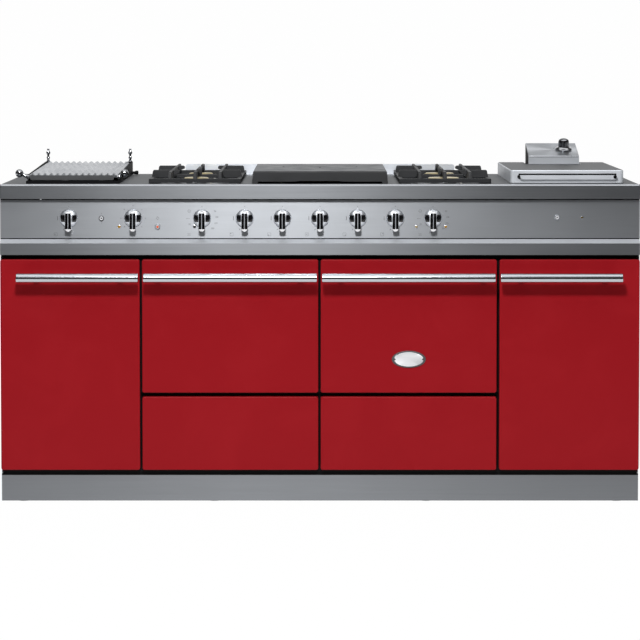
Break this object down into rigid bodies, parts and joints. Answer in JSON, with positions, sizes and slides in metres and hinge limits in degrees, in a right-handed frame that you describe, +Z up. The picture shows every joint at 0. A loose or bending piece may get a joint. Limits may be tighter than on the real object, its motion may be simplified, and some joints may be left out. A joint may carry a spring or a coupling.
{
  "type": "range cooker",
  "caption": "Wide free-standing range cooker: oven doors over drawers between two cupboards, gas hob with grates, simmer plate, ribbed grill and lidded fryer.",
  "frame": {"origin": "on the floor, under the middle of the outline that the door handles and the back of the worktop make", "axes": "+X to the right as seen from the front, +Y to the back, +Z up"},
  "size_m": [1.8, 0.71, 1.0132],
  "materials": {
    "brushed_stainless": "fine horizontal brushing",
    "polished_chrome": "polished",
    "red_enamel": "smooth gloss enamel",
    "black_enamel": "gloss enamel",
    "grey_oven_enamel": "speckled gloss enamel",
    "cast_iron": "matt enamelled casting",
    "grill_casting": "machined ribs",
    "brass": "brushed",
    "burner_aluminium": "cast",
    "galvanised_steel": "galvanised",
    "element_steel": "heat-tinted",
    "amber_lens": "moulded lens",
    "seal_rubber": "moulded silicone",
    "button_plastic": "plated moulding"
  },
  "bodies": {
    "cooker": {"plinth": "brushed_stainless", "adjustable_feet": "galvanised_steel", "chassis": "galvanised_steel", "side_panels": "brushed_stainless", "front_frame": "black_enamel", "worktop": "brushed_stainless", "rear_upstand": "brushed_stainless", "control_panel": "brushed_stainless", "lower_rail": "brushed_stainless", "left_oven_cavity": "grey_oven_enamel", "right_oven_cavity": "grey_oven_enamel", "cupboard_shelves": "galvanised_steel", "oven_racks": "polished_chrome", "oven_fans": "galvanised_steel", "heating_elements": "element_steel", "indicator_lamps": "amber_lens", "burner_trays": "brushed_stainless", "burner_bases": "burner_aluminium", "burner_caps": "brass", "gas_manifold": "galvanised_steel", "gas_taps": "brass", "thermostats": "galvanised_steel", "grill_frame": "black_enamel", "grill_posts": "polished_chrome", "fryer_tank": "brushed_stainless", "fryer_head": "brushed_stainless", "oven_door_seals": "seal_rubber", "drawer_runners": "galvanised_steel", "hinge_pins": "black_enamel"},
    "left_cabinet_door": {"left_cabinet_door": "red_enamel", "left_cabinet_handle": "polished_chrome"},
    "right_cabinet_door": {"right_cabinet_door": "red_enamel", "right_cabinet_handle": "polished_chrome"},
    "left_oven_door": {"left_oven_door": "red_enamel", "left_oven_handle": "polished_chrome"},
    "right_oven_door": {"right_oven_door": "red_enamel", "right_oven_handle": "polished_chrome", "badge": "brushed_stainless"},
    "left_drawer": {"left_drawer": "red_enamel"},
    "right_drawer": {"right_drawer": "red_enamel"},
    "left_grate": {"left_grate": "cast_iron"},
    "right_grate": {"right_grate": "cast_iron"},
    "simmer_plate": {"simmer_plate": "cast_iron"},
    "grill_plate": {"grill_plate": "grill_casting", "grill_lift_balls": "polished_chrome"},
    "fryer_lid": {"fryer_lid": "brushed_stainless", "fryer_lid_handle": "polished_chrome"},
    "fryer_knob": {"fryer_knob": "polished_chrome"},
    "grill_knob": {"grill_knob": "polished_chrome"},
    "left_rear_knob": {"left_rear_knob": "polished_chrome"},
    "left_front_knob": {"left_front_knob": "polished_chrome"},
    "simmer_knob": {"simmer_knob": "polished_chrome"},
    "right_front_knob": {"right_front_knob": "polished_chrome"},
    "right_rear_knob": {"right_rear_knob": "polished_chrome"},
    "timer_knob": {"timer_knob": "polished_chrome"},
    "left_oven_knob": {"left_oven_knob": "polished_chrome"},
    "right_oven_knob": {"right_oven_knob": "polished_chrome"},
    "grill_spark_button": {"grill_spark_button": "button_plastic"},
    "fan_button": {"fan_button": "button_plastic"},
    "fryer_button": {"fryer_button": "button_plastic"}
  },
  "joints": [
    {"name": "left_cabinet_hinge", "type": "hinge", "parent": "cooker", "child": "left_cabinet_door", "pos_m": [-0.8945, -0.283, 0.39], "axis": [0, 0, -1], "range_deg": [0, 110]},
    {"name": "left_oven_hinge", "type": "hinge", "parent": "cooker", "child": "left_oven_door", "pos_m": [-0.252, -0.285, 0.317], "axis": [1, 0, 0], "range_deg": [0, 90]},
    {"name": "left_drawer_slide", "type": "slide", "parent": "cooker", "child": "left_drawer", "axis": [0, -1, 0], "range_m": [0, 0.28]},
    {"name": "left_grate_lift", "type": "slide", "parent": "cooker", "child": "left_grate", "axis": [0, 0, 1], "range_m": [0, 0.12]},
    {"name": "right_cabinet_hinge", "type": "hinge", "parent": "cooker", "child": "right_cabinet_door", "pos_m": [0.8945, -0.283, 0.39], "axis": [0, 0, 1], "range_deg": [0, 110]},
    {"name": "right_oven_hinge", "type": "hinge", "parent": "cooker", "child": "right_oven_door", "pos_m": [0.252, -0.285, 0.317], "axis": [1, 0, 0], "range_deg": [0, 90]},
    {"name": "right_drawer_slide", "type": "slide", "parent": "cooker", "child": "right_drawer", "axis": [0, -1, 0], "range_m": [0, 0.28]},
    {"name": "right_grate_lift", "type": "slide", "parent": "cooker", "child": "right_grate", "axis": [0, 0, 1], "range_m": [0, 0.12]},
    {"name": "simmer_plate_lift", "type": "slide", "parent": "cooker", "child": "simmer_plate", "axis": [0, 0, 1], "range_m": [0, 0.12]},
    {"name": "fryer_lid_lift", "type": "slide", "parent": "cooker", "child": "fryer_lid", "axis": [0, 0, 1], "range_m": [0, 0.15]},
    {"name": "grill_plate_hinge", "type": "hinge", "parent": "cooker", "child": "grill_plate", "pos_m": [-0.6985, 0.265, 0.908], "axis": [-1, 0, 0], "range_deg": [0, 45]},
    {"name": "fryer_knob_turn", "type": "hinge", "parent": "cooker", "child": "fryer_knob", "pos_m": [0.732, 0.245, 0.97928], "axis": [0, 0.2685, -0.9633], "range_deg": [0, 270]},
    {"name": "grill_knob_turn", "type": "hinge", "parent": "cooker", "child": "grill_knob", "pos_m": [-0.707, -0.29, 0.804], "axis": [0, -1, 0], "range_deg": [0, 210]},
    {"name": "left_rear_knob_turn", "type": "hinge", "parent": "cooker", "child": "left_rear_knob", "pos_m": [-0.212, -0.29, 0.804], "axis": [0, -1, 0], "range_deg": [0, 210]},
    {"name": "left_front_knob_turn", "type": "hinge", "parent": "cooker", "child": "left_front_knob", "pos_m": [-0.106, -0.29, 0.804], "axis": [0, -1, 0], "range_deg": [0, 210]},
    {"name": "simmer_knob_turn", "type": "hinge", "parent": "cooker", "child": "simmer_knob", "pos_m": [0, -0.29, 0.804], "axis": [0, -1, 0], "range_deg": [0, 210]},
    {"name": "right_front_knob_turn", "type": "hinge", "parent": "cooker", "child": "right_front_knob", "pos_m": [0.106, -0.29, 0.804], "axis": [0, -1, 0], "range_deg": [0, 210]},
    {"name": "right_rear_knob_turn", "type": "hinge", "parent": "cooker", "child": "right_rear_knob", "pos_m": [0.212, -0.29, 0.804], "axis": [0, -1, 0], "range_deg": [0, 210]},
    {"name": "timer_knob_turn", "type": "hinge", "parent": "cooker", "child": "timer_knob", "pos_m": [-0.526, -0.29, 0.804], "axis": [0, 1, 0], "range_deg": [0, 270]},
    {"name": "left_oven_knob_turn", "type": "hinge", "parent": "cooker", "child": "left_oven_knob", "pos_m": [-0.332, -0.29, 0.804], "axis": [0, 1, 0], "range_deg": [0, 270]},
    {"name": "right_oven_knob_turn", "type": "hinge", "parent": "cooker", "child": "right_oven_knob", "pos_m": [0.318, -0.29, 0.804], "axis": [0, 1, 0], "range_deg": [0, 270]},
    {"name": "grill_spark_button_press", "type": "slide", "parent": "cooker", "child": "grill_spark_button", "axis": [0, 1, 0], "range_m": [0, 0.003], "stiffness_N_per_m": 400},
    {"name": "fan_button_press", "type": "slide", "parent": "cooker", "child": "fan_button", "axis": [0, 1, 0], "range_m": [0, 0.003], "stiffness_N_per_m": 400},
    {"name": "fryer_button_press", "type": "slide", "parent": "cooker", "child": "fryer_button", "axis": [0, 1, 0], "range_m": [0, 0.003], "stiffness_N_per_m": 400}
  ]
}
